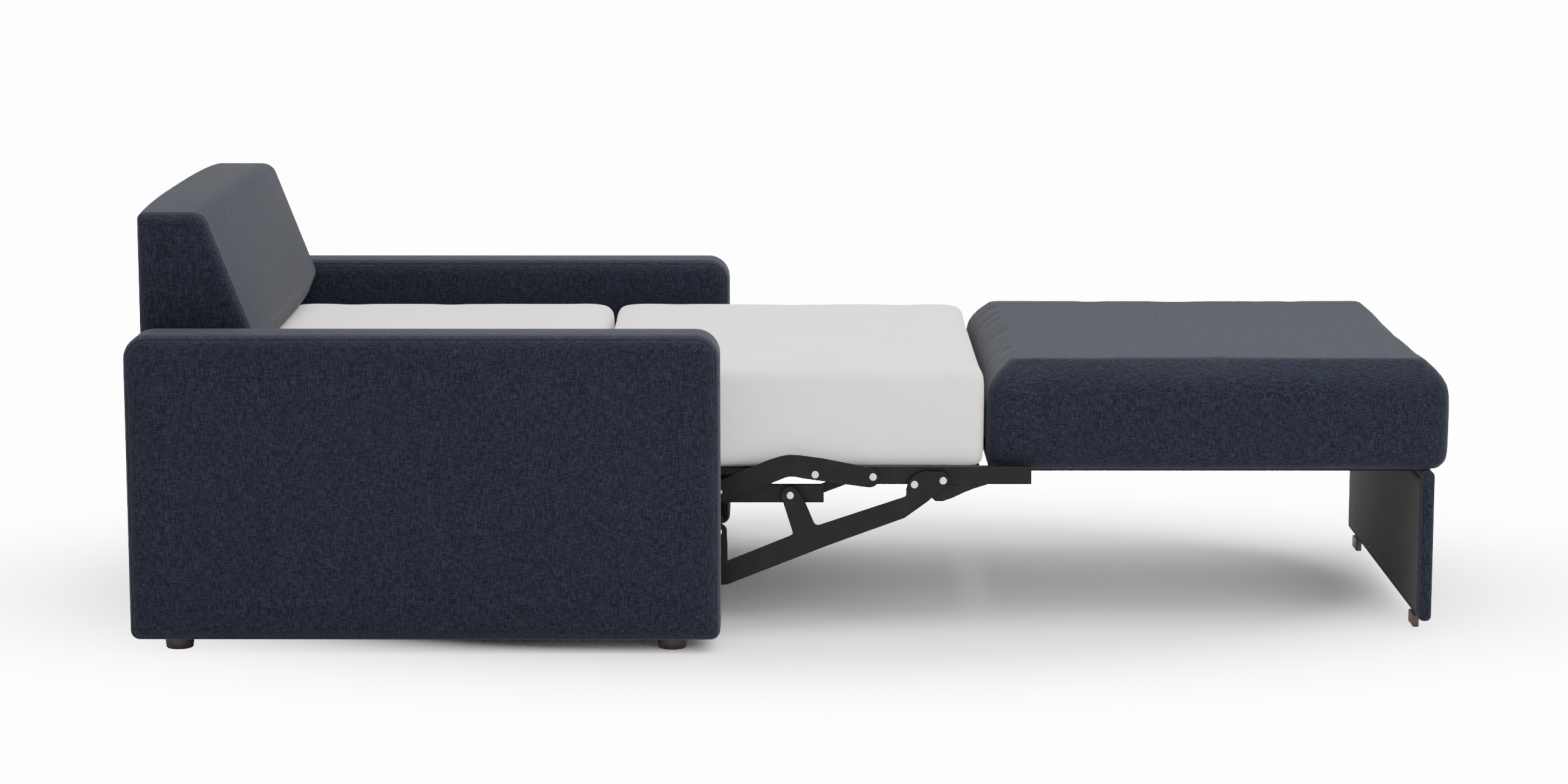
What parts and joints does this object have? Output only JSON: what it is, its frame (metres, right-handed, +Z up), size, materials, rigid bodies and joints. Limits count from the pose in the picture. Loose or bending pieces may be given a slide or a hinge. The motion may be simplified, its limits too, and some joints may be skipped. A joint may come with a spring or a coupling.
{
  "type": "futon sofa bed",
  "caption": "Upholstered futon sofa bed drawn open: slab arms, raked backrest, a sliding carriage and a seat section that swings out on steel links beside a foam mattress.",
  "frame": {"origin": "on the floor, under the middle of the open bed's box", "axes": "+Z up, -Y towards the foot end and the sofa's front, -X towards the sitter's right"},
  "size_m": [1.104, 2.1858, 0.722],
  "materials": {
    "navy_fabric": "coarse woven navy upholstery",
    "mattress_fabric": "off-white woven ticking",
    "black_steel": "satin black powder coat",
    "rivet_steel": "plain zinc",
    "brown_wood": "stained brown",
    "foot_plastic": "dark brown, matte",
    "deck_board": "near-black steel deck"
  },
  "bodies": {
    "sofa_body": {"backrest": "navy_fabric", "back_panel": "navy_fabric", "rear_base_tube": "black_steel", "right_arm": "navy_fabric", "right_rear_foot": "foot_plastic", "right_front_foot": "foot_plastic", "right_track": "black_steel", "right_base_rail": "black_steel", "right_front_post": "black_steel", "right_rear_post": "black_steel", "left_arm": "navy_fabric", "left_rear_foot": "foot_plastic", "left_front_foot": "foot_plastic", "left_track": "black_steel", "left_base_rail": "black_steel", "left_front_post": "black_steel", "left_rear_post": "black_steel"},
    "carriage": {"right_carriage_rail": "black_steel", "right_link_pin": "rivet_steel", "right_arm_pivot_rivet": "rivet_steel", "left_carriage_rail": "black_steel", "left_link_pin": "rivet_steel", "left_arm_pivot_rivet": "rivet_steel"},
    "lower_arms": {"right_lower_arm": "black_steel", "right_elbow_rivet": "rivet_steel", "right_spur_rivet": "rivet_steel", "left_lower_arm": "black_steel", "left_elbow_rivet": "rivet_steel", "left_spur_rivet": "rivet_steel"},
    "upper_links": {"right_upper_link": "black_steel", "right_crown_rivet": "rivet_steel", "left_upper_link": "black_steel", "left_crown_rivet": "rivet_steel"},
    "seat_section": {"seat_cushion": "navy_fabric", "seat_deck": "deck_board", "leg_panel": "navy_fabric", "right_seat_rail": "black_steel", "right_gusset": "black_steel", "right_leg_foot": "brown_wood", "right_seat_pivot_rivet": "rivet_steel", "right_link_seat_rivet": "rivet_steel", "left_seat_rail": "black_steel", "left_gusset": "black_steel", "left_leg_foot": "brown_wood", "left_seat_pivot_rivet": "rivet_steel", "left_link_seat_rivet": "rivet_steel"},
    "middle_front_links": {"right_middle_front_link": "black_steel", "left_middle_front_link": "black_steel"},
    "middle_rear_links": {"right_middle_rear_link": "black_steel", "left_middle_rear_link": "black_steel"},
    "middle_section": {"middle_deck": "deck_board", "middle_mattress": "mattress_fabric"},
    "head_front_links": {"right_head_front_link": "black_steel", "left_head_front_link": "black_steel"},
    "head_rear_links": {"right_head_rear_link": "black_steel", "left_head_rear_link": "black_steel"},
    "head_section": {"head_deck": "deck_board", "head_mattress": "mattress_fabric"}
  },
  "joints": [
    {"name": "carriage_slide", "type": "slide", "parent": "sofa_body", "child": "carriage", "axis": [0, 1, 0], "range_m": [0, 0.675]},
    {"name": "seat_swing", "type": "hinge", "parent": "carriage", "child": "lower_arms", "pos_m": [0, 0.0086, 0.2425], "axis": [-1, 0, 0], "range_deg": [0, 168.8]},
    {"name": "seat_level", "type": "hinge", "parent": "lower_arms", "child": "seat_section", "pos_m": [0, -0.24566, 0.26761], "axis": [-1, 0, 0], "range_deg": [-169.2, 0]},
    {"name": "upper_link_swing", "type": "hinge", "parent": "carriage", "child": "upper_links", "pos_m": [0, 0.125, 0.248], "axis": [-1, 0, 0], "range_deg": [0, 169.2]},
    {"name": "middle_front_swing", "type": "hinge", "parent": "carriage", "child": "middle_front_links", "pos_m": [0, -0.028, 0.2435], "axis": [-1, 0, 0], "range_deg": [-87.5, 0]},
    {"name": "middle_rear_swing", "type": "hinge", "parent": "carriage", "child": "middle_rear_links", "pos_m": [0, 0.257, 0.2435], "axis": [-1, 0, 0], "range_deg": [-87.5, 0]},
    {"name": "middle_level", "type": "hinge", "parent": "middle_front_links", "child": "middle_section", "pos_m": [0, -0.11202, 0.27575], "axis": [-1, 0, 0], "range_deg": [0, 87.5], "deforming": ["middle_mattress"]},
    {"name": "head_front_swing", "type": "hinge", "parent": "sofa_body", "child": "head_front_links", "pos_m": [0, 0.407, 0.167], "axis": [-1, 0, 0], "range_deg": [0, 111.2]},
    {"name": "head_rear_swing", "type": "hinge", "parent": "sofa_body", "child": "head_rear_links", "pos_m": [0, 0.857, 0.167], "axis": [-1, 0, 0], "range_deg": [0, 111.2]},
    {"name": "head_level", "type": "hinge", "parent": "head_front_links", "child": "head_section", "pos_m": [0, 0.46946, 0.25755], "axis": [-1, 0, 0], "range_deg": [-111.2, 0], "deforming": ["head_mattress"]}
  ],
  "couplings": [
    {"joint": "seat_level", "follows": "seat_swing", "ratio": -1},
    {"joint": "upper_link_swing", "follows": "seat_swing", "ratio": 1},
    {"joint": "middle_front_swing", "follows": "seat_swing", "ratio": -0.5154},
    {"joint": "middle_rear_swing", "follows": "seat_swing", "ratio": -0.5154},
    {"joint": "middle_level", "follows": "seat_swing", "ratio": 0.5154},
    {"joint": "head_front_swing", "follows": "carriage_slide", "rad_per_m": 2.8649},
    {"joint": "head_rear_swing", "follows": "carriage_slide", "rad_per_m": 2.8649},
    {"joint": "head_level", "follows": "carriage_slide", "rad_per_m": -2.8649}
  ]
}
